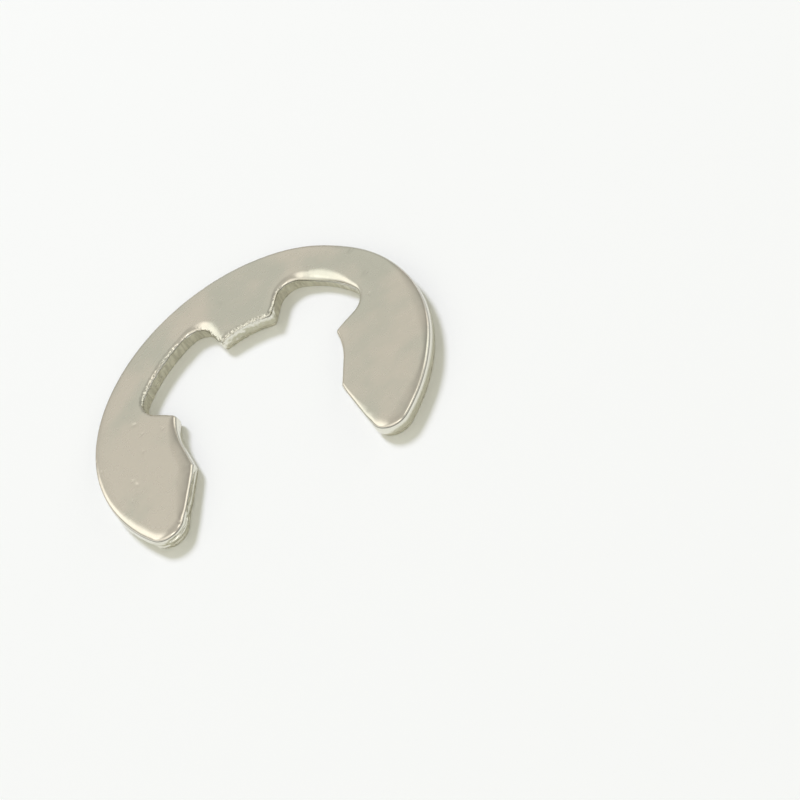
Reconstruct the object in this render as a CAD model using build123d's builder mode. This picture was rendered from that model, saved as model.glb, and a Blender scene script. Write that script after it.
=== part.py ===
from build123d import *
from math import sqrt
import os

# An e clip: a retaining ring stamped from spring strip, pushed sideways into the groove of a
# shaft, where its three lugs grip and its rim stands out as a shoulder.
# It is one piece. It lies flat with its rolled, smoother face up, as it comes off the press.
# The origin is the centre of the circle that the lugs grip, on the lower face, and the mouth
# opens towards -Y. Sizes are in millimetres and angles in degrees.

# the strip and the round blank
thickness = 1.0
outer_diameter = 20.0
outer_centre_drop = 0.12  # the blank's centre lies this far from the gripped circle's, to the mouth

# the circle that the lugs grip, and the wider one that frees the rim to bend
grip_diameter = 10.0
relief_diameter = 15.0

# the centre lug, opposite the mouth
centre_lug_width = 3.2  # across its tip, at the gripped circle
centre_lug_flank_angle = 22.5  # how much each flank leans out towards the rim
centre_lug_root_radius = 1.0
centre_lug_corner_radius = 0.28

# the side lugs, at the roots of the arms
side_lug_start_angle = 13.0  # above the X axis
side_lug_end_angle = 16.0  # below the X axis
step_angle = 30.5  # the shoulder above a side lug climbs at this angle to the relief
step_corner_radius = 0.34
relief_end_radius = 1.35

# the mouth and the arms
lead_in_length = 1.58  # straight edge from the side lug to the mouth's narrowest place
lead_in_angle = 13.5
mouth_corner_radius = 0.28
flare_angle = 16.2
arm_tip_radius = 1.14

# the sheared edge: the punch rolls the upper edge over, and tumbling dulls the lower one
rolled_edge_radius = 0.2
lower_edge_radius = 0.1

outer_radius = outer_diameter / 2
grip_radius = grip_diameter / 2
relief_radius = relief_diameter / 2
outer_centre = Vector(0, -outer_centre_drop)


def on_circle(radius, angle):
    """The point of a circle about the origin at an angle from +X."""
    return Vector(radius, 0).rotate(Axis.Z, angle)


def run_out(start, heading, radius, centre=Vector(0, 0)):
    """Where a straight edge that leaves start at a heading meets the circle around it."""
    direction = on_circle(1, heading)
    offset = start - centre
    along = offset.dot(direction)
    return start + direction * (sqrt(along**2 + radius**2 - offset.dot(offset)) - along)


def across(point):
    """The same point on the other arm."""
    return Vector(-point.X, point.Y)


# the corners of the right-hand half, from the centre lug round to the arm's tip
centre_lug_corner = Vector(centre_lug_width / 2, sqrt(grip_radius**2 - (centre_lug_width / 2) ** 2))
centre_lug_root = run_out(centre_lug_corner, 90 - centre_lug_flank_angle, relief_radius)
step_corner = on_circle(grip_radius, side_lug_start_angle)
relief_end = run_out(step_corner, step_angle, relief_radius)
grip_end = on_circle(grip_radius, -side_lug_end_angle)
mouth_corner = grip_end + on_circle(lead_in_length, -90 - lead_in_angle)
arm_tip = run_out(mouth_corner, -90 + flare_angle, outer_radius, outer_centre)

rounded_corners = [
    (centre_lug_corner, centre_lug_corner_radius),
    (centre_lug_root, centre_lug_root_radius),
    (relief_end, relief_end_radius),
    (step_corner, step_corner_radius),
    (mouth_corner, mouth_corner_radius),
    (arm_tip, arm_tip_radius),
]

with BuildPart() as e_clip:
    with BuildSketch() as outline:
        with BuildLine():
            Line(centre_lug_corner, centre_lug_root)
            RadiusArc(centre_lug_root, relief_end, relief_radius)
            Line(relief_end, step_corner)
            RadiusArc(step_corner, grip_end, grip_radius)
            Line(grip_end, mouth_corner)
            Line(mouth_corner, arm_tip)
            mirror(about=Plane.YZ)
            ThreePointArc(across(centre_lug_corner), (0, grip_radius), centre_lug_corner)
            ThreePointArc(across(arm_tip), (0, outer_centre.Y + outer_radius), arm_tip)
        make_face()
        for corner, radius in rounded_corners:
            for place in (corner, across(corner)):
                fillet(outline.vertices().sort_by_distance(place)[:1], radius)
    extrude(amount=thickness)
    fillet(e_clip.faces().sort_by(Axis.Z)[-1].edges(), rolled_edge_radius)
    fillet(e_clip.faces().sort_by(Axis.Z)[0].edges(), lower_edge_radius)

e_clip.part.label = "e_clip"
print(f"e_clip: mouth {2 * mouth_corner.X:.2f} mm wide, volume {e_clip.part.volume:.2f} cubic mm")

os.makedirs("parts", exist_ok=True)
export_step(e_clip.part, "parts/e_clip.step")
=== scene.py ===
# %% [markdown]
# # An e clip, stamped from spring strip
# An e clip is a retaining ring. It is pushed sideways into the groove of a shaft, where its
# three lugs grip, and its rim then stands out as a shoulder that nothing slides past.
# The real one is cut from flat spring steel in one press stroke and then tumbled in a drum.
# The cut leaves four bands down the edge: a rolled upper edge, a smooth sheared land, a torn
# break below it, and a lower edge whose burr the drum has knocked off.
# Those bands are what catch the light, so this lesson makes each of them as real shape.
# We begin with the CAD model, which fixes every size. Blender only adds what the press and
# the drum did to it.

# %% load the model and read its sizes
import math

import bmesh
import bpy
import numpy as np
from mathutils import Matrix, Vector
from mathutils.geometry import delaunay_2d_cdt
from mathutils.kdtree import KDTree


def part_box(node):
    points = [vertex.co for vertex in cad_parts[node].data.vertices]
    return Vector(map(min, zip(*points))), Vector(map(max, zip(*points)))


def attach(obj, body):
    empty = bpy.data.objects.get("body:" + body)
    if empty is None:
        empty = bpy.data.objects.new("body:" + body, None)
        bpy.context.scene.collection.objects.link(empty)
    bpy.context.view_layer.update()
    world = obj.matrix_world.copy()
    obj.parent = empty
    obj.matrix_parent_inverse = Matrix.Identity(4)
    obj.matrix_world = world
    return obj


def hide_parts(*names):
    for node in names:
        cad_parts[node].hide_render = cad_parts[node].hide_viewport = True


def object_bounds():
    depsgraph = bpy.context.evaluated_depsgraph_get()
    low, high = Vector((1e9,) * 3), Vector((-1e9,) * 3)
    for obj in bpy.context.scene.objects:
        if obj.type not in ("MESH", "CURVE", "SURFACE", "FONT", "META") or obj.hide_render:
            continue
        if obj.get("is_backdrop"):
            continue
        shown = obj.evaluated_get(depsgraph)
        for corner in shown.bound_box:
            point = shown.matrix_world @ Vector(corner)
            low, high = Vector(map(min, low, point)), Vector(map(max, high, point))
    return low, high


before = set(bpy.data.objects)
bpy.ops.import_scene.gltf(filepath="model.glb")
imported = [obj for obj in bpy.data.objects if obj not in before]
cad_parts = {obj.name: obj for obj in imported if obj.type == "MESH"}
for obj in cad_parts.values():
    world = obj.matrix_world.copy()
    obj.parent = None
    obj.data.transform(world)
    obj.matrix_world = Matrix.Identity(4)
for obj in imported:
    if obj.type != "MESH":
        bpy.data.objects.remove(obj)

MM = 0.001  # one millimetre, in Blender's metres

cad_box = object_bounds()
cad_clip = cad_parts["e_clip"]
lowest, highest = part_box("e_clip")
span = (highest - lowest) / MM
thickness = (highest.z - lowest.z) / MM
print(f"clip {span.x:.2f} x {span.y:.2f} mm, {thickness:.2f} mm thick")

# %% [markdown]
# ## The camera
# The clip lies flat and we look down on it at a little over forty degrees, with the mouth
# towards us and to the left. The camera is also rolled, so that the clip seems to climb
# across the picture, and it is aimed to the right of the clip, which leaves open floor there.
# An aim and a roll are easier to adjust than three turning angles, so the camera's axes are
# worked out from them.

# %% camera
CAMERA_PLACE = Vector((23.294, -73.990, 64.817)) * MM
CAMERA_AIM = Vector((7.004, -4.934, 0.0)) * MM
CAMERA_ROLL = math.radians(-35.87)
SENSOR_WIDTH = 36.0
LENS = 85.44
NEAREST_SEEN = 1 * MM
FARTHEST_SEEN = 100.0


def camera_turn(place, aim, roll):
    """The camera's axes, from where it stands, what it is aimed at and how it is rolled."""
    ahead = (aim - place).normalized()
    level = ahead.cross(Vector((0, 0, 1))).normalized()
    above = level.cross(ahead)
    right = math.cos(roll) * level + math.sin(roll) * above
    up = math.cos(roll) * above - math.sin(roll) * level
    return Matrix((right, up, -ahead)).transposed()


camera = bpy.data.objects.new("camera", bpy.data.cameras.new("camera"))
bpy.context.scene.collection.objects.link(camera)
camera.matrix_world = Matrix.LocRotScale(
    CAMERA_PLACE, camera_turn(CAMERA_PLACE, CAMERA_AIM, CAMERA_ROLL).to_quaternion(), None
)
camera.data.sensor_width = SENSOR_WIDTH
camera.data.lens = LENS
camera.data.clip_start = NEAREST_SEEN
camera.data.clip_end = FARTHEST_SEEN
bpy.context.scene.camera = camera
print(f"camera {(CAMERA_AIM - CAMERA_PLACE).length / MM:.1f} mm from what it is aimed at")

# %% [markdown]
# ## Wiring nodes as formulas
# Materials, the studio's light and Geometry Nodes are all trees of nodes. Placing every Math
# node by hand makes a short rule hard to read, so a small class stands for a value that flows
# through a tree: adding or multiplying such values places the Math nodes and joins them.

# %% a value that flows through a node tree
class Flow:
    """An output socket in a tree. Arithmetic on it places Math nodes."""

    def __init__(self, tree, socket):
        self.tree = tree
        self.socket = socket

    def __add__(self, other):
        return calc("ADD", self, other)

    def __sub__(self, other):
        return calc("SUBTRACT", self, other)

    def __rsub__(self, other):
        return calc("SUBTRACT", other, self)

    def __mul__(self, other):
        return calc("MULTIPLY", self, other)

    def __truediv__(self, other):
        return calc("DIVIDE", self, other)

    def __rtruediv__(self, other):
        return calc("DIVIDE", other, self)

    __radd__ = __add__
    __rmul__ = __mul__


# %% placing and joining nodes
def feed(socket, value):
    """Joins a flowing value to a socket, or sets the socket to a plain one."""
    if isinstance(value, Flow):
        value.tree.links.new(value.socket, socket)
    else:
        socket.default_value = value


def place(tree, kind, values=None, out=0, **settings):
    """Places a node, sets and feeds it, and gives the value that leaves it."""
    node = tree.nodes.new(kind)
    for name, setting in settings.items():
        setattr(node, name, setting)
    for key, value in (values or {}).items():
        feed(node.inputs[key], value)
    return Flow(tree, node.outputs[out])


def calc(operation, *values):
    """One Math node, in the tree that its values flow through."""
    tree = next(value.tree for value in values if isinstance(value, Flow))
    return place(tree, "ShaderNodeMath", dict(enumerate(values)), operation=operation)


def vector_calc(operation, vector, other, out="Vector"):
    """One Vector Math node with two vectors."""
    return place(
        vector.tree, "ShaderNodeVectorMath", {0: vector, 1: other}, out=out, operation=operation
    )


# %% directions, soft steps and colours
def dot(one, other):
    """How far two vectors point the same way."""
    return vector_calc("DOT_PRODUCT", one, other, out="Value")


def axis_of(vector, axis):
    """One of a vector's three numbers."""
    return place(vector.tree, "ShaderNodeSeparateXYZ", {0: vector}, out=axis)


def between(value, start, end, low=0.0, high=1.0, smooth=True):
    """Goes from low to high while value goes from start to end, and stays there beyond them."""
    return place(
        value.tree,
        "ShaderNodeMapRange",
        {"Value": value, "From Min": start, "From Max": end, "To Min": low, "To Max": high},
        interpolation_type="SMOOTHSTEP" if smooth else "LINEAR",
    )


def blend_colours(share, first, second):
    """Goes from the first colour to the second as share goes from 0 to 1."""
    return place(
        share.tree, "ShaderNodeMix", {0: share, 6: first, 7: second}, out=2, data_type="RGBA"
    )


# %% [markdown]
# ## The studio
# Bare metal shows its surroundings, so the light is part of its finish. A few bare lamps would
# leave it dark, with hard white spots. So the studio is a pale room, painted on the world's
# dome in soft round patches, which have no edges that a satin face could show.
# The wall behind the clip and the ceiling are what its face mirrors, and they set how bright
# that is. Two windows on the left, one on the right, the lit wall behind the camera and two
# small lamps draw the bright lines along its edges.

# %% the parts of the room
ROOM = (1.0, 0.985, 0.92, 1.0)
WINDOW = (1.0, 0.99, 0.93, 1.0)
PLAIN_WALL = 0.60  # how bright the room is where it has no patch
SKIRTING = 0.45  # the share of all the light that is left low down, at a dark skirting
SKIRTING_TOP = (0.02, 0.17)  # the skirting ends where the way there rises by these

# the way there, full within and gone beyond so many degrees, and how much light it adds
PATCHES = {
    "lit wall behind the camera": ((-0.15, -0.85, 0.46), 12, 42, 0.55),
    "wall behind the clip": ((-0.04, 0.75, 0.65), 8, 28, 0.14),
    "shaded part of that wall": ((0.45, 0.68, 0.56), 10, 34, -0.16),
    "ceiling": ((-0.10, 0.20, 0.97), 6, 26, -0.04),
    "right window": ((0.86, 0.42, 0.30), 7, 23, 0.90),
    "left wall": ((-0.85, -0.30, 0.42), 10, 34, 0.40),
    "small lamp near the camera": ((0.37, -0.80, 0.48), 5, 18, 1.30),
    "small lamp on the right": ((0.80, -0.15, 0.55), 7, 19, 1.00),
}
# the same for the two left windows, which overlap: the brighter one shows
WIDE_WINDOW = ((-0.68, 0.22, 0.70), 12, 32, 0.78)
LOW_WINDOW = ((-0.70, 0.52, 0.48), 8, 16, 0.86)


# %% light the room
def towards(x, y, z):
    """A direction from the clip."""
    return Vector((x, y, z)).normalized()


def patch(way_there, full, gone):
    """A soft round patch on the dome: 1 within the angle full, 0 beyond the angle gone."""
    edge = math.cos(math.radians(gone))
    core = math.cos(math.radians(full))
    return between(dot(way, towards(*way_there)), edge, core)


world = bpy.data.worlds.new("studio")
bpy.context.scene.world = world
world.use_nodes = True
sky = world.node_tree
sky.nodes.clear()
way = place(sky, "ShaderNodeTexCoord", out="Generated")
wide_window = patch(*WIDE_WINDOW[:3])
low_window = patch(*LOW_WINDOW[:3])
room = PLAIN_WALL + calc("MAXIMUM", wide_window * WIDE_WINDOW[3], low_window * LOW_WINDOW[3])
for way_there, full, gone, added in PATCHES.values():
    room = room + patch(way_there, full, gone) * added
above_skirting = between(axis_of(way, "Z"), *SKIRTING_TOP)
room = room * (SKIRTING + above_skirting * (1 - SKIRTING))
room_colour = blend_colours(wide_window, ROOM, WINDOW)
print(f"a room with {len(PATCHES) + 2} soft patches of light")

# %% [markdown]
# ### The floor and its lamp
# A dome lights a floor from everywhere and leaves hardly any shadow. So a third of its light
# is kept from the floor, and one large soft lamp makes that up. It stands behind the clip, a
# little to the left, so the clip's soft shadow falls towards us. The lamp is kept out of the
# metal's reflections, where it would be a hard white spot. The floor is plain white.

# %% less of the room's light for the floor
FILL = (1.0, 0.99, 0.82, 1.0)
KEPT_FROM_FLOOR = 0.33

on_floor = place(sky, "ShaderNodeLightPath", out="Is Diffuse Ray")
strength = room * (1 - on_floor * KEPT_FROM_FLOOR)
light_colour = blend_colours(on_floor, room_colour, FILL)
dome = place(sky, "ShaderNodeBackground", {"Color": light_colour, "Strength": strength})
world_output = sky.nodes.new("ShaderNodeOutputWorld")
feed(world_output.inputs["Surface"], dome)
print(f"the room's light is a tree of {len(sky.nodes)} nodes")

# %% the lamp that casts the shadow
LAMP_WAY = towards(-0.27, 0.72, 0.64)
LAMP_DISTANCE = 3.0
LAMP_SPREAD = math.radians(8)  # half the angle that the lamp fills, seen from the clip
LAMP_WATTS = 70.5
LAMP_COLOUR = (0.80, 0.82, 0.985)

lamp = bpy.data.lights.new("lamp", "AREA")
lamp.shape = "DISK"
lamp.size = 2 * LAMP_DISTANCE * math.tan(LAMP_SPREAD)
lamp.energy = LAMP_WATTS
lamp.color = LAMP_COLOUR
lamp_stand = bpy.data.objects.new("lamp", lamp)
bpy.context.scene.collection.objects.link(lamp_stand)
lamp_stand.location = LAMP_WAY * LAMP_DISTANCE
lamp_stand.rotation_mode = "QUATERNION"
lamp_stand.rotation_quaternion = LAMP_WAY.to_track_quat("Z", "Y")
lamp_stand.visible_glossy = False
print(f"a lamp {lamp.size:.2f} m wide, {LAMP_DISTANCE:.1f} m away")

# %% the floor
FLOOR_REACH = 4.0
FLOOR_COLOUR = (0.94, 0.945, 0.94, 1.0)
FLOOR_ROUGHNESS = 0.9

floor_mesh = bpy.data.meshes.new("floor")
signs = ((-1, -1), (1, -1), (1, 1), (-1, 1))
corners = [(x * FLOOR_REACH, y * FLOOR_REACH, 0.0) for x, y in signs]
floor_mesh.from_pydata(corners, [], [(0, 1, 2, 3)])
floor = bpy.data.objects.new("floor", floor_mesh)
bpy.context.scene.collection.objects.link(floor)
floor_paint = bpy.data.materials.new("floor_paint")
floor_paint.use_nodes = True
floor_shader = floor_paint.node_tree.nodes["Principled BSDF"]
floor_shader.inputs["Base Color"].default_value = FLOOR_COLOUR
floor_shader.inputs["Roughness"].default_value = FLOOR_ROUGHNESS
floor_shader.inputs["Specular IOR Level"].default_value = 0.0
floor_mesh.materials.append(floor_paint)
floor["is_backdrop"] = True

bpy.context.scene.view_settings.view_transform = "Standard"
print(f"a floor {2 * FLOOR_REACH:.0f} m wide")

# %% [markdown]
# ## The outline
# Every band of the edge follows the clip's outline, so we need that outline as one smooth
# line. It is read from a merged copy of the CAD solid, whose wall is a ring of upright edges.
# There an arc is a run of equal chords and a straight flank is a single long one. That is
# enough to give each chord back the bend that it stands for, and to walk the true curve in
# steps far finer than the CAD mesh.

# %% read the ring of upright edges
SAME_PLACE = 1e-7  # metres


def top_of_upright(edge):
    """The upper end of an edge that runs straight up the wall, or None for any other edge."""
    lower, upper = sorted(edge.verts, key=lambda point: point.co.z)
    upright = (lower.co.xy - upper.co.xy).length < SAME_PLACE
    tall = upper.co.z - lower.co.z > thickness * MM / 2
    return upper if upright and tall else None


def wall_ring(node):
    """The outline's points in order, anticlockwise, in millimetres, from the top of the wall."""
    solid = bmesh.new()
    solid.from_mesh(node.data)
    bmesh.ops.remove_doubles(solid, verts=solid.verts, dist=SAME_PLACE)
    tops = {top_of_upright(edge) for edge in solid.edges} - {None}
    ring = [min(tops, key=lambda point: (point.co.x, point.co.y))]
    seen = set(ring)
    while True:
        near = [edge.other_vert(ring[-1]) for edge in ring[-1].link_edges]
        onward = [point for point in near if point in tops and point not in seen]
        if not onward:
            break
        ring.append(onward[0])
        seen.add(onward[0])
    points = np.array([point.co.xy for point in ring]) / MM
    solid.free()
    following = np.roll(points, -1, axis=0)
    enclosed = np.sum(points[:, 0] * following[:, 1] - following[:, 0] * points[:, 1]) / 2
    return points if enclosed > 0 else points[::-1]


ring_points = wall_ring(cad_clip)
print(f"the CAD wall is a ring of {len(ring_points)} points")

# %% walk the true curve
STEP = 0.05  # between points of the outline
STEP_TURN = math.radians(7)  # the most that the outline turns between two points
SAME_ARC = 0.02  # chords whose lengths differ by less than this share are of one arc
STRAIGHT = 1e-6  # a chord that bends less than this is straight


def chord_bends(length, turn):
    """How far the outline bends along each chord, from the turns at the chords' ends."""
    alike_next = np.isclose(length, np.roll(length, -1), rtol=SAME_ARC)
    alike_last = np.isclose(length, np.roll(length, 1), rtol=SAME_ARC)
    return np.where(alike_next, np.roll(turn, -1), np.where(alike_last, turn, 0.0))


def walk_outline(points):
    """Points along the outline and the way out of the steel at each."""
    chord = np.roll(points, -1, axis=0) - points
    length = np.hypot(chord[:, 0], chord[:, 1])
    heading = np.arctan2(chord[:, 1], chord[:, 0])
    turn = (heading - np.roll(heading, 1) + math.pi) % (2 * math.pi) - math.pi
    bend = chord_bends(length, turn)
    places, ways_out = [], []
    for start, along, size, angle, curve in zip(points, chord, length, heading, bend):
        pieces = math.ceil(max(size / STEP, abs(curve) / STEP_TURN))
        across = np.array([-along[1], along[0]]) / size
        for piece in range(pieces):
            swing = curve * (piece / pieces - 0.5)
            if abs(curve) < STRAIGHT:
                on, off = piece / pieces, 0.0
            else:
                radius = size / (2 * math.sin(curve / 2))
                on = 0.5 + radius * math.sin(swing) / size
                off = radius * (math.cos(curve / 2) - math.cos(swing))
            places.append(start + along * on + across * off)
            ways_out.append((math.sin(angle + swing), -math.cos(angle + swing)))
    return np.array(places), np.array(ways_out)


outline, way_out = walk_outline(ring_points)
steps = np.hypot(*(np.roll(outline, -1, axis=0) - outline).T)
print(f"outline {steps.sum():.1f} mm long, of {len(outline)} points")
print(f"they lie {steps.min():.3f} to {steps.max():.3f} mm apart")

# %% [markdown]
# ## The blank
# The press will need something to shape: a flat blank with the clip's outline, straight
# walls, and enough points wherever its surface is going to curve. One way is to subdivide the
# CAD mesh, but its long thin triangles would crease. We lay the points ourselves instead:
# rows that follow the outline, close together where the upper edge will roll over, then an
# even honeycomb across the face. Blender's own triangulation joins them.
# Each point also remembers where it is: its inset from the outline, how far it is down the
# wall, and which way is out of the steel. The press reads those. The true inset has a crease
# wherever two stretches of the outline are equally near, so deep in the steel a point feels
# a softer one, which all of the outline has a part in.

# %% how far a point lies from the outline
outline_tree = KDTree(len(outline))
for number, spot in enumerate(outline):
    outline_tree.insert((spot[0], spot[1], 0.0), number)
outline_tree.balance()


def from_segment(spot, start, end):
    """The distance of a spot from a short straight piece of the outline."""
    along = end - start
    share = np.clip(np.dot(spot - start, along) / np.dot(along, along), 0.0, 1.0)
    return np.hypot(*(spot - start - share * along))


def inset_of(spot):
    """The distance from the outline, and the number of the outline's nearest point."""
    nearest = outline_tree.find((spot[0], spot[1], 0.0))[1]
    here = outline[nearest]
    before = outline[nearest - 1]
    after = outline[(nearest + 1) % len(outline)]
    return min(from_segment(spot, before, here), from_segment(spot, here, after)), nearest


print(f"the shaft's centre lies {inset_of(np.zeros(2))[0]:.2f} mm from the nearest steel")

# %% how deep in the steel a point feels
EDGE_PULL = 3 * math.pi / 8  # the pull of an endless straight edge at distance 1
LEAST_APART = 1e-8  # keeps a point on the outline from dividing by nothing
BATCHES = 40  # points are measured in so many batches, to spare memory


def felt_insets(spots):
    """Insets that turn corners softly: each short piece of the outline pulls as 1/distance^6."""
    share = (steps + np.roll(steps, 1)) / 2
    felt = []
    for batch in np.array_split(np.array(spots), BATCHES):
        apart = ((batch[:, None, :] - outline[None, :, :]) ** 2).sum(axis=2)
        pull = (share / np.maximum(apart, LEAST_APART) ** 3).sum(axis=1)
        felt.append((EDGE_PULL / pull) ** (1 / 5))  # a straight edge pulls as 1/distance^5
    return np.concatenate(felt)


half_in = felt_insets([(0.0, highest.y / MM - 0.5)])[0]
print(f"a point 0.50 mm in from the rim feels {half_in:.2f} mm in")

# %% rows along the outline
CROWDED = 0.6  # points of a row keep at least this share of a step apart
NEARER_ELSEWHERE = 0.985  # below this share of its inset, a point belongs to another stretch


def widening_insets(first, growth, last):
    """Insets of rows that start close together and then spread out."""
    insets = [first]
    while insets[-1] < last:
        insets.append(insets[-1] + first * growth ** len(insets))
    return insets


def rows_inside(insets):
    """Rows of points that follow the outline at the given insets."""
    least_gap = CROWDED * min(STEP, steps.mean())
    laid = []
    for inset in insets:
        last = None
        for spot, out in zip(outline, way_out):
            inner = spot - out * inset
            crowded = last is not None and np.hypot(*(inner - last)) < least_gap
            if crowded or inset_of(inner)[0] < NEARER_ELSEWHERE * inset:
                continue
            laid.append((inner[0], inner[1]))
            last = inner
    return laid


top_insets = widening_insets(first=0.010, growth=1.32, last=0.5)
under_insets = widening_insets(first=0.015, growth=1.8, last=0.2)
print(f"{len(top_insets)} rows along the upper face's edge, to {top_insets[-1]:.2f} mm in")
print(f"{len(under_insets)} rows along the lower face's edge, to {under_insets[-1]:.2f} mm in")

# %% a honeycomb across the face
ROW_RATIO = math.sqrt(0.75)  # between rows, as a share of the pitch along them


def honeycomb(pitch, margin):
    """An even honeycomb of points over the face, no nearer to the outline than the margin."""
    low, high = outline.min(axis=0), outline.max(axis=0)
    rows = int((high[1] - low[1]) / (pitch * ROW_RATIO)) + 1
    columns = int((high[0] - low[0]) / pitch) + 1
    laid = []
    for row in range(rows):
        for column in range(columns):
            shift = (column + row % 2 / 2) * pitch, row * pitch * ROW_RATIO
            spot = low + np.array(shift)
            inset, nearest = inset_of(spot)
            inside = np.dot(outline[nearest] - spot, way_out[nearest]) > 0
            if inside and inset > margin:
                laid.append((spot[0], spot[1]))
    return laid


# %% join the points of each face
INSIDE_THE_RIM = 1  # the triangulation keeps only what the rim encloses
MERGED_WITHIN = 1e-6
TOP_PITCH = 0.085
UNDER_PITCH = 0.13


def triangulate(inner):
    """Joins the outline and the points inside it into triangles, all facing up."""
    count = len(outline)
    spots = [Vector(spot) for spot in outline] + [Vector(spot) for spot in inner]
    rim = [(number, (number + 1) % count) for number in range(count)]
    joined = delaunay_2d_cdt(spots, rim, [], INSIDE_THE_RIM, MERGED_WITHIN)
    placed, faces = joined[0], joined[2]
    print(f"a face of {len(placed)} points and {len(faces)} triangles")
    return np.array([spot[:] for spot in placed]), faces


def lay_face(insets, pitch):
    """One face of the blank: rows along the outline, then a honeycomb."""
    return triangulate(rows_inside(insets) + honeycomb(pitch, insets[-1] + pitch / 2))


top_spots, top_faces = lay_face(top_insets, TOP_PITCH)
under_spots, under_faces = lay_face(under_insets, UNDER_PITCH)

# %% what each point will remember
TRUE_INSET_TO = 0.10  # up to here a point feels its true inset,
SOFT_INSET_FROM = 0.25  # and from here on the one that turns corners softly


def store_places(mesh, spots):
    """Stores each point's insets, how far down the wall it is, and the way out of the steel."""
    measured = [inset_of(np.array(spot[:2])) for spot in spots]
    inset = np.array([inset for inset, _ in measured])
    soft = np.clip((inset - TRUE_INSET_TO) / (SOFT_INSET_FROM - TRUE_INSET_TO), 0.0, 1.0)
    felt = inset + soft * (felt_insets([spot[:2] for spot in spots]) - inset)
    down = [spot[2] for spot in spots]
    for name, values in (("inset", inset), ("felt_inset", felt), ("down", down)):
        mesh.attributes.new(name, "FLOAT", "POINT").data.foreach_set("value", values)
    outward = np.zeros((len(spots), 3))
    outward[:, :2] = way_out[[nearest for _, nearest in measured]]
    ways = mesh.attributes.new("outward", "FLOAT_VECTOR", "POINT")
    ways.data.foreach_set("vector", outward.ravel())


# %% build the blank
WALL_BANDS = 16


def wall_quads(first_of_band):
    """The wall's faces, from the number of each band's first point, top to bottom."""
    rim = len(outline)
    faces = []
    for upper, lower in zip(first_of_band, first_of_band[1:]):
        for number in range(rim):
            following = (number + 1) % rim
            faces.append((upper + number, lower + number, lower + following, upper + following))
    return faces


def build_blank():
    """The blank as one closed mesh, with what each of its points remembers."""
    rim = len(outline)
    tops = len(top_spots)
    unders = tops + (WALL_BANDS - 1) * rim
    spots = [(x, y, 0.0) for x, y in top_spots]
    for band in range(1, WALL_BANDS):
        spots += [(x, y, band / WALL_BANDS) for x, y in outline]
    spots += [(x, y, 1.0) for x, y in under_spots]
    faces = [tuple(face) for face in top_faces]
    faces += [tuple(unders + number for number in reversed(face)) for face in under_faces]
    faces += wall_quads([0] + [tops + band * rim for band in range(WALL_BANDS - 1)] + [unders])
    places = [(x * MM, y * MM, (1 - down) * thickness * MM) for x, y, down in spots]
    mesh = bpy.data.meshes.new("blank")
    mesh.from_pydata(places, [], faces)
    store_places(mesh, spots)
    return mesh


blank = build_blank()
print(f"blank of {len(blank.vertices)} points and {len(blank.polygons)} faces")

# %% [markdown]
# ## Press and drum
# The shape of the cut edge is a rule that holds all the way round: so far in from the outline
# and so far down the wall, the steel is moved by so much. Geometry Nodes suit such a rule.
# The tree reads what each point of the blank remembers, works out how far the point falls and
# how far it goes back into the steel, and moves it there. Then the drum knocks in its dents.
# Each size is a named input, so that another clip can be made by turning its values.

# %% the tree's inputs
# lengths are in millimetres, and the rest are shares or factors
SIZES = {
    "Thickness": thickness,
    "Crown width": 1.2,
    "Crown depth": 0.025,
    "Roll width": 0.22,
    "Roll slope": 0.38,
    "Roll curve": 1.35,
    "Roll unevenness": 0.15,
    "Corner width": 0.13,
    "Corner depth": 0.08,
    "Least corner": 0.15,
    "Far side sharpness": 0.75,
    "Wear in the left relief": 0.75,
    "Chatter": 2.6,
    "Chatter depth": 0.07,
    "Chatter spacing": 0.14,
    "Pit depth": 0.07,
    "Pit spacing": 0.16,
    "Brow height": 0.45,
    "Brow depth": 0.06,
    "Land share": 0.74,
    "Land share in the reliefs": 0.14,
    "Land unevenness": 0.22,
    "Second land share": 0.9,
    "Break lean": 0.05,
    "Break step": 0.022,
    "Ridge depth": 0.03,
    "Ridge spacing": 0.17,
    "Fold depth": 0.09,
    "Lower edge": 0.09,
    "Trim": 0.002,
    "Face waviness": 0.010,
    "Dents per mm2": 0.17,
    "Dent length": 0.25,
    "Dent narrowness": 1.8,
    "Dent depth": 0.024,
    "Smallest dent": 0.45,
    "Largest dent": 1.6,
}
press = bpy.data.node_groups.new("press_and_drum", "GeometryNodeTree")
press.interface.new_socket("Clip", in_out="OUTPUT", socket_type="NodeSocketGeometry")
press.interface.new_socket("Blank", in_out="INPUT", socket_type="NodeSocketGeometry")
for name in SIZES:
    press.interface.new_socket(name, in_out="INPUT", socket_type="NodeSocketFloat")
press.interface.new_socket("Seed", in_out="INPUT", socket_type="NodeSocketInt")
press.interface.new_socket("Steel", in_out="INPUT", socket_type="NodeSocketMaterial")
given_node = press.nodes.new("NodeGroupInput")
given = {socket.name: Flow(press, socket) for socket in given_node.outputs if socket.name}
print(f"press and drum have {len(given)} inputs")


# %% lengths, distances and noise
def stretched(vector, scale):
    """A vector scaled by three numbers."""
    return vector_calc("MULTIPLY", vector, scale)


def distance(one, other):
    """How far apart two places are."""
    return vector_calc("DISTANCE", one, other, out="Value")


def length_of(vector):
    """How long a vector is."""
    return place(
        vector.tree, "ShaderNodeVectorMath", {0: vector}, out="Value", operation="LENGTH"
    )


def lengthened(vector, factor):
    """A vector made longer or shorter."""
    return place(
        vector.tree, "ShaderNodeVectorMath", {0: vector, "Scale": factor}, operation="SCALE"
    )


def noise(where, scale, detail=2.0, roughness=0.5):
    """Soft noise: 0.5 on the whole, and scale gives its bumps per unit of where."""
    return place(
        where.tree,
        "ShaderNodeTexNoise",
        {"Vector": where, "Scale": scale, "Detail": detail, "Roughness": roughness},
        out="Fac",
    )


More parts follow.
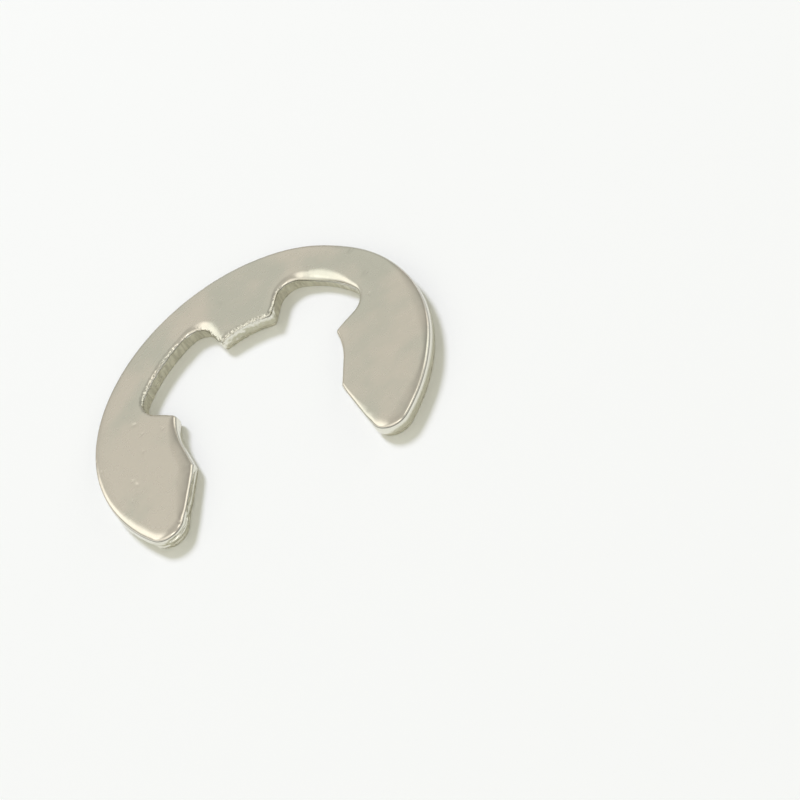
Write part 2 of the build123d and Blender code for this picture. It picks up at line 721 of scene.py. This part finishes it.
# %% what each point remembers
def remembered(name, kind="FLOAT"):
    """A value that the blank's points carry."""
    return place(press, "GeometryNodeInputNamedAttribute", {"Name": name}, data_type=kind)


inset = remembered("inset")
felt_inset = remembered("felt_inset")
down = remembered("down")
outward = remembered("outward", "FLOAT_VECTOR")
here = place(press, "GeometryNodeInputPosition")
here_mm = stretched(here, (1 / MM, 1 / MM, 1 / MM))
plan_mm = stretched(here, (1 / MM, 1 / MM, 0.0))
from_centre = length_of(plan_mm)


# %% rules that the press uses again and again
def falling(value, start, end, smooth=True):
    """Goes from 1 to 0 while value goes from start to end."""
    return between(value, start, end, 1.0, 0.0, smooth)


def nearness(how_far_in, reach):
    """1 at the outline, falling evenly to 0 at the reach."""
    return falling(how_far_in / reach, 0.0, 1.0, smooth=False)


def near_place(place_mm, reach, full=0.0):
    """1 within the distance full of a place on the clip, falling softly to 0 at the reach."""
    return falling(distance(plan_mm, (*place_mm, 0.0)), full, reach)


def quarter_round(near):
    """How far a quarter circle has fallen, as a share of its radius."""
    return 1 - calc("SQRT", calc("MAXIMUM", 1 - near * near, 0.0))


def sway(where, scale, detail=2.0):
    """Soft noise about 0, from -1 to 1 at the most."""
    return (noise(where, scale, detail) - 0.5) * 2


# %% [markdown]
# ### The upper edge
# Before the punch cuts, it draws the face down with it. Far in, that is a faint crown. Nearer
# the edge it is a slope that steepens, and at the very edge it is a tight round corner.
# The slope is wider at some places than at others. Those places could be painted by hand, but
# a list of them is easier to change: the nearer a point is to one, the wider its slope.
# Along the centre lug and the left relief the steel chipped, so the corner is crumbled there.
# In that relief it is larger too. On the far side of the rim it stays sharp.

# %% where the roll is wide
# a place in millimetres, its reach, and how much wider, steeper and rounder the roll is there
WIDE_ROLLS = {
    "end of the right relief": ((4.9, 5.7), 3.4, 0.53, 0.50, 0.80),
    "left flank of the centre lug": ((-2.1, 5.8), 2.3, 0.60, 0.08, 0.40),
    "left arm's inner edge": ((-4.8, -2.8), 6.0, 0.60, 0.0, 0.0),
    "left tip": ((-7.9, -6.2), 3.4, 0.14, 0.0, 0.0),
    "right tip": ((7.4, -6.4), 4.0, 0.50, -0.15, 0.0),
    "right arm's outer edge": ((9.8, 0.0), 5.0, 0.40, -0.17, 0.0),
}
SWELLS_PER_MM = 0.9  # how often the roll swells along the edge

width = given["Roll width"]
steepness = given["Roll slope"]
curve = given["Roll curve"]
for place_mm, reach, wider, steeper, rounder in WIDE_ROLLS.values():
    share = near_place(place_mm, reach)
    width = width + share * wider
    steepness = steepness + share * steeper
    curve = curve + share * rounder
width = width * (1 + sway(plan_mm, SWELLS_PER_MM) * given["Roll unevenness"])
slope = width * steepness / curve * calc("POWER", nearness(felt_inset, width), curve)
print(f"the roll is wide at {len(WIDE_ROLLS)} places")

# %% where the steel chipped and where the corner stays sharp
# a place in millimetres, its reach, and the distance within which it counts in full
CHIPPED = ((-2.6, 4.9), 8.0, 0.0)
WHOLE = ((-4.9, 0.8), 1.7, 0.9)  # the left side lug didn't chip
WORN = ((-5.5, 4.9), 3.0, 0.8)
# distances from the clip's centre over which something begins or ends
RELIEFS_BEGIN = (5.2, 5.9)
RELIEFS_END = (7.7, 8.4)
CHIPS_END = (7.9, 8.6)
RIM_BEGINS = (8.6, 9.2)
CHIPS_PER_MM = 0.5
CHIPS_START = (0.30, 0.44)  # where the noise passes these, the steel chipped
CHIPS_NEAR = (0.1, 0.4)  # and only where the place is this near
FAR_WAY = (-0.55, 0.83, 0.0)  # the way that the far side of the rim faces
FACES_FAR = (0.1, 0.7)  # how nearly a wall has to face that way

ragged = between(near_place(*CHIPPED), *CHIPS_NEAR)
ragged = ragged * between(noise(plan_mm, CHIPS_PER_MM), *CHIPS_START)
ragged = ragged * falling(from_centre, *CHIPS_END) * (1 - near_place(*WHOLE))
in_relief = between(from_centre, *RELIEFS_BEGIN) * falling(from_centre, *RELIEFS_END)
far_side = between(dot(outward, FAR_WAY), *FACES_FAR) * between(from_centre, *RIM_BEGINS)
chatter = sway(plan_mm, 1 / given["Chatter spacing"]) * ragged
print(f"the steel chipped within {CHIPPED[1]:.0f} mm of {CHIPPED[0]}")

# %% how far each point falls
CALMER_CORNER = 0.5  # how much less the corner crumbles in the reliefs
SHORT_OF_UPRIGHT = 0.985  # the corner's round stops just before it would stand upright
WAVES_PER_MM = 0.28

crumbled = 1 + chatter * given["Chatter"] * (1 - in_relief * CALMER_CORNER)
corner_size = calc("MAXIMUM", crumbled, given["Least corner"])
corner_size = corner_size * (1 - far_side * given["Far side sharpness"])
corner_size = corner_size * (1 + near_place(*WORN) * given["Wear in the left relief"])
near_corner = nearness(inset, given["Corner width"] * corner_size)
corner = given["Corner depth"] * corner_size * quarter_round(near_corner * SHORT_OF_UPRIGHT)
near_crown = nearness(felt_inset, given["Crown width"])
fallen = slope + corner + given["Crown depth"] * near_crown * near_crown
raised = given["Lower edge"] * quarter_round(nearness(inset, given["Lower edge"]))
wave = noise(plan_mm, WAVES_PER_MM, detail=1.0) * given["Face waviness"]
height = (given["Thickness"] - fallen - wave) * (1 - down) + raised * down
print(f"the fall of the points takes {len(press.nodes)} nodes")

# %% [markdown]
# ### The wall
# Below the corner the steel was sheared smooth, which is the land. Then it gave way, and the
# break leans in and is torn into upright ridges. In the reliefs it gave way almost at once.
# By the left tip it was sheared a second time lower down, and crumpled into small folds.
# The top of the wall leans back towards the corner, as a brow, and where the steel chipped
# the wall is pitted too.
# The blank has the clip's full outline, so none of this may stand out past it. Each is a cut
# back into the steel instead, and together they are never less than nothing.

# %% land and break
SOFT_BORDER = 0.10  # the share of the height over which the land turns into the break
BORDER_PER_MM = 1.6
RIDGE_STRETCH = (1.0, 1.0, 0.12)  # ridges run up the wall
TWICE_SHEARED = ((-6.0, -5.5), 5.0)  # a place in millimetres and its reach
SHEARED_NEAR = (0.1, 0.5)  # how near that place has to be
SECOND_LAND_BEGINS = (0.60, 0.66)  # shares of the way down
SECOND_LAND_ENDS = (0.80, 0.86)

land = given["Land share"]
land = land + in_relief * (given["Land share in the reliefs"] - given["Land share"])
border = land + sway(plan_mm, BORDER_PER_MM, detail=3.0) * given["Land unevenness"]
second_land = between(down, *SECOND_LAND_BEGINS) * falling(down, *SECOND_LAND_ENDS)
second_land = second_land * between(near_place(*TWICE_SHEARED), *SHEARED_NEAR)
torn = between(down, border, border + SOFT_BORDER)
torn = torn * (1 - second_land * given["Second land share"])
below = between(down, border, 1.0, smooth=False)
upright_mm = stretched(here_mm, RIDGE_STRETCH)
ridges = noise(upright_mm, 1 / given["Ridge spacing"], detail=3.0, roughness=0.6)
break_cut = torn * (given["Break step"] + ridges * given["Ridge depth"])
break_cut = break_cut + below * given["Break lean"]

# %% brow, chatter, pits and folds
BROW_LOSS = 0.8  # how much shallower the brow is in the reliefs
CALMER_WALL = 0.6  # how much shallower chatter and pits are there
PIT_STRETCH = (1.0, 1.0, 0.45)
FOLD_STRETCH = (0.8, 0.8, 4.6)  # folds lie along the wall, one above the other
FOLDED = ((-5.6, -6.9), 2.4, 0.8)  # as for the chipped places
FOLDS_RISE = (0.38, 0.62)  # the noise between a fold's foot and its top
# shares of the way down
CHATTER_ENDS = (0.0, 0.9)
PITS_BEGIN = (0.10, 0.25)
FOLDS_BEGIN = (0.08, 0.25)

brow = falling(down * given["Thickness"], 0.0, given["Brow height"], smooth=False)
brow_cut = brow * brow * given["Brow depth"] * (1 - in_relief * BROW_LOSS) * (1 - far_side)
calm = 1 - in_relief * CALMER_WALL
chatter_cut = chatter * given["Chatter depth"] * calm * falling(down, *CHATTER_ENDS)
pits = sway(stretched(here_mm, PIT_STRETCH), 1 / given["Pit spacing"]) * ragged
pit_cut = pits * given["Pit depth"] * calm * between(down, *PITS_BEGIN)
folds = between(noise(stretched(here_mm, FOLD_STRETCH), 1.0), *FOLDS_RISE)
fold_cut = folds * near_place(*FOLDED) * given["Fold depth"] * between(down, *FOLDS_BEGIN)
cuts = break_cut + brow_cut + chatter_cut + pit_cut + fold_cut
cut_back = calc("MAXIMUM", cuts, 0.0)
print(f"with the cuts in the wall, the tree has {len(press.nodes)} nodes")

# %% [markdown]
# ### Moving the points
# Points of the face close to the edge go back with the wall, or the corner would tear. The
# whole outline is also trimmed by a hair, which keeps the clip inside the CAD model.
# What is torn, and where the ridges lie, is stored for the steel to read.

# %% move the points
GOES_BACK_TO = 0.30  # up to this inset the face goes back with the wall


def stored(geometry, name, value):
    """The geometry, with a value stored at each of its points."""
    return place(
        press,
        "GeometryNodeStoreNamedAttribute",
        {"Geometry": geometry, "Name": name, "Value": value},
        data_type="FLOAT",
        domain="POINT",
    )


near_edge = falling(inset, 0.0, GOES_BACK_TO)
sideways = lengthened(outward, (cut_back + given["Trim"]) * near_edge * -MM)
pressed_to = place(
    press,
    "ShaderNodeCombineXYZ",
    {"X": axis_of(here, "X"), "Y": axis_of(here, "Y"), "Z": height * MM},
)
moved_to = vector_calc("ADD", pressed_to, sideways)
pressed = place(
    press, "GeometryNodeSetPosition", {"Geometry": given["Blank"], "Position": moved_to}
)
marked = stored(stored(pressed, "torn", torn), "ridges", ridges)
print(f"the press is a tree of {len(press.nodes)} nodes")

# %% [markdown]
# ### The drum
# In the drum the clips knock on each other, which leaves small shallow dents, longer than they
# are wide and each turned its own way. Scattered points say where the knocks fell. Every point
# of the clip then finds the nearest of them and sinks by how close it is to it. A dent's turn
# follows from its size, which saves a second random draw.

# %% where the knocks fell
strikes = place(
    press,
    "GeometryNodeDistributePointsOnFaces",
    {"Mesh": marked, "Density": given["Dents per mm2"] / MM**2, "Seed": given["Seed"]},
    distribute_method="RANDOM",
)
strike_size = place(
    press,
    "FunctionNodeRandomValue",
    {"Min": given["Smallest dent"], "Max": given["Largest dent"], "Seed": given["Seed"]},
    out=1,
    data_type="FLOAT",
)
nearest_strike = place(press, "GeometryNodeSampleNearest", {"Geometry": strikes}, domain="POINT")


def at_strike(value, kind):
    """A value read at each point's nearest strike."""
    return place(
        press,
        "GeometryNodeSampleIndex",
        {"Geometry": strikes, "Value": value, "Index": nearest_strike},
        data_type=kind,
        domain="POINT",
    )


its_place = at_strike(here, "FLOAT_VECTOR")
its_size = at_strike(strike_size, "FLOAT")

# %% knock in the dents
TURN_BY_SIZE = 40.0  # radians, for a dent of size 1

turned = place(
    press,
    "ShaderNodeVectorRotate",
    {"Vector": vector_calc("SUBTRACT", here, its_place), "Angle": its_size * TURN_BY_SIZE},
    rotation_type="Z_AXIS",
)
narrower = place(press, "ShaderNodeCombineXYZ", {0: 1.0, 1: given["Dent narrowness"], 2: 1.0})
apart = length_of(stretched(turned, narrower))
hollow = falling(apart / (given["Dent length"] * MM * its_size), 0.0, 1.0)
normal = place(press, "GeometryNodeInputNormal")
knocked = lengthened(normal, hollow * its_size * given["Dent depth"] * -MM)
dented = place(press, "GeometryNodeSetPosition", {"Geometry": marked, "Offset": knocked})

# %% what leaves the tree
smoothed = place(press, "GeometryNodeSetShadeSmooth", {"Geometry": dented})
realized = place(press, "GeometryNodeRealizeInstances", {"Geometry": smoothed})
finished = place(
    press, "GeometryNodeSetMaterial", {"Geometry": realized, "Material": given["Steel"]}
)
press_output = press.nodes.new("NodeGroupOutput")
feed(press_output.inputs["Clip"], finished)
print(f"press and drum are a tree of {len(press.nodes)} nodes")

# %% [markdown]
# ## The steel
# Tumbled spring steel is satin, not polished: its face is a fine pebbled skin that spreads
# every reflection. It is a faintly green grey, in places warmer where its film of oil or
# phosphate is thicker. Towards the left arm it turns lighter and warmer. The punch drew the
# rolled edge smooth and burnished the land below it. The land and the dull break are painted
# lighter than the face, partly as painted light from the floor that they mirror. The break is
# darker in the grooves between its ridges, partly from dirt and partly as painted shade. A
# thin dark line of painted shade lies under the corner, and fades at the tip of the centre lug.
# One shader does all of them, steered by what the press stored at each point. The patterns
# follow the Object coordinates, in millimetres.

# %% what the shader reads
steel = bpy.data.materials.new("spring_steel")
steel.use_nodes = True
steel_tree = steel.node_tree
shader = steel_tree.nodes["Principled BSDF"]
shader.inputs["Metallic"].default_value = 1.0


def carried(name):
    """A value that the press stored on the clip."""
    return place(steel_tree, "ShaderNodeAttribute", out="Fac", attribute_name=name)


surface = place(steel_tree, "ShaderNodeTexCoord", out="Object")
surface_mm = stretched(surface, (1 / MM, 1 / MM, 1 / MM))
broken = carried("torn")
down_wall = carried("down")

# %% the colour of the steel, with painted light and shade on its walls
GREEN_GREY = (0.668, 0.663, 0.580, 1.0)
WARM_GREY = (0.768, 0.718, 0.628, 1.0)
# the land and break greys are lighter than the face, partly as painted light from the floor that
# they mirror
LAND_GREY_WITH_PAINTED_LIGHT = (0.790, 0.775, 0.680, 1.0)
BREAK_GREY_WITH_PAINTED_LIGHT = (0.790, 0.770, 0.670, 1.0)
BREAK_GROOVE_DIRT_AND_SHADE = (0.640, 0.620, 0.535, 1.0)
LEFT_ARM_WAY = (-0.75, -0.66, 0.0)
LEFT_ARM_BEGINS = (1.0, 8.0)  # so many millimetres that way
LEFT_ARM_WARMER = 0.25
PATCHES_PER_MM = 0.35
PATCHES_WARM = (0.38, 0.72)  # the noise over which the green grey turns warm
WALL_BEGINS = (0.0, 0.08)  # shares of the way down
GROOVE_BEGINS = (0.40, 0.60)  # the ridges' noise, which is highest in the grooves

# towards the left arm the face turns lighter and warmer
warm_side = between(dot(surface_mm, LEFT_ARM_WAY), *LEFT_ARM_BEGINS, 0.0, LEFT_ARM_WARMER)
warm = between(noise(surface_mm, PATCHES_PER_MM, detail=3.0) + warm_side, *PATCHES_WARM)
face_colour = blend_colours(warm, GREEN_GREY, WARM_GREY)
# the break is darker in its grooves, partly from dirt and partly as painted shade
groove_dirt_and_shade = between(carried("ridges"), *GROOVE_BEGINS)
break_colour = blend_colours(groove_dirt_and_shade, BREAK_GREY_WITH_PAINTED_LIGHT, BREAK_GROOVE_DIRT_AND_SHADE)
wall_colour = blend_colours(broken, LAND_GREY_WITH_PAINTED_LIGHT, break_colour)
colour_with_painted_light = blend_colours(between(down_wall, *WALL_BEGINS), face_colour, wall_colour)

# %% the painted line of shade under the corner
CORNER_SHADE = (0.200, 0.190, 0.160, 1.0)
CORNER_SHADE_COVER = 0.9
CORNER_SHADE_BEGINS = (0.0, 0.03)  # shares of the way down
CORNER_SHADE_ENDS = (0.06, 0.12)
LUG_TIP = (-0.2, 5.0, 0.9)
LUG_SHADE_RETURNS = (1.1, 1.7)  # the painted shade comes back between these distances from the lug's tip
LUG_CORNER_SHADE = 0.1  # the share of the painted shade that is left there

# a thin dark line of painted shade at the top of the wall, under the corner
corner_shade = between(down_wall, *CORNER_SHADE_BEGINS) * falling(down_wall, *CORNER_SHADE_ENDS)
corner_shade = corner_shade * between(distance(surface_mm, LUG_TIP), *LUG_SHADE_RETURNS, LUG_CORNER_SHADE, 1.0)
steel_colour = blend_colours(corner_shade * CORNER_SHADE_COVER, colour_with_painted_light, CORNER_SHADE)
feed(shader.inputs["Base Color"], steel_colour)
print(f"the colour takes {len(steel_tree.nodes)} nodes")

# %% satin and pebbles
SATIN_PER_MM = 2.2
SATIN = (0.26, 0.34)  # the face's least and most roughness,
SATIN_NOISE = (0.3, 0.7)  # where the noise is at these
ROLL_SMOOTHER = 0.11
ROLL_ENDS = (0.2, 0.9)  # millimetres in from the outline
BREAK_ROUGHER = 0.12
PEBBLES_PER_MM = 7.0
PEBBLE_HEIGHT = 0.004
PEBBLE_STRENGTH = 0.10
BREAK_PEBBLES = 2.5  # how much higher they stand on the break

satin = between(noise(surface_mm, SATIN_PER_MM, detail=4.0), *SATIN_NOISE, *SATIN)
rolled = between(carried("inset"), *ROLL_ENDS, -ROLL_SMOOTHER, 0.0)
feed(shader.inputs["Roughness"], satin + rolled + broken * BREAK_ROUGHER)
pebbles = noise(surface_mm, PEBBLES_PER_MM) * (1 + broken * BREAK_PEBBLES)
skin = place(
    steel_tree,
    "ShaderNodeBump",
    {"Strength": PEBBLE_STRENGTH, "Distance": PEBBLE_HEIGHT * MM, "Height": pebbles},
    out="Normal",
)
feed(shader.inputs["Normal"], skin)
print(f"the steel is a tree of {len(steel_tree.nodes)} nodes")

# %% [markdown]
# ## Making the clip
# The modifier's inputs are set by their identifiers before anything is evaluated. The result
# is then taken as a plain mesh, so that the finished piece carries no live modifier.

# %% run the press
SEED = 7

worked_blank = bpy.data.objects.new("blank", blank)
bpy.context.scene.collection.objects.link(worked_blank)
stroke = worked_blank.modifiers.new("press", "NODES")
stroke.node_group = press
wanted = {**SIZES, "Seed": SEED, "Steel": steel}
for item in press.interface.items_tree:
    if item.in_out == "INPUT" and item.name in wanted:
        stroke[item.identifier] = wanted[item.name]
evaluated = worked_blank.evaluated_get(bpy.context.evaluated_depsgraph_get())
clip_mesh = bpy.data.meshes.new_from_object(evaluated)
bpy.data.objects.remove(worked_blank)
clip_mesh.name = "e_clip_stamped"
clip = bpy.data.objects.new("e_clip_stamped", clip_mesh)
bpy.context.scene.collection.objects.link(clip)
triangles = sum(len(face.vertices) - 2 for face in clip_mesh.polygons)
print(f"clip of {len(clip_mesh.vertices)} points and {triangles} triangles")

# %% put it in the place of the CAD solid
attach(clip, "root")
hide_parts("e_clip")

# %% measure and finish
visual_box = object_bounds()
for axis, cad_low, cad_high, seen_low, seen_high in zip("xyz", *cad_box, *visual_box):
    print(f"{axis}: CAD {cad_low / MM:.3f} to {cad_high / MM:.3f} mm")
    print(f"{axis}: clip {seen_low / MM:.3f} to {seen_high / MM:.3f} mm")
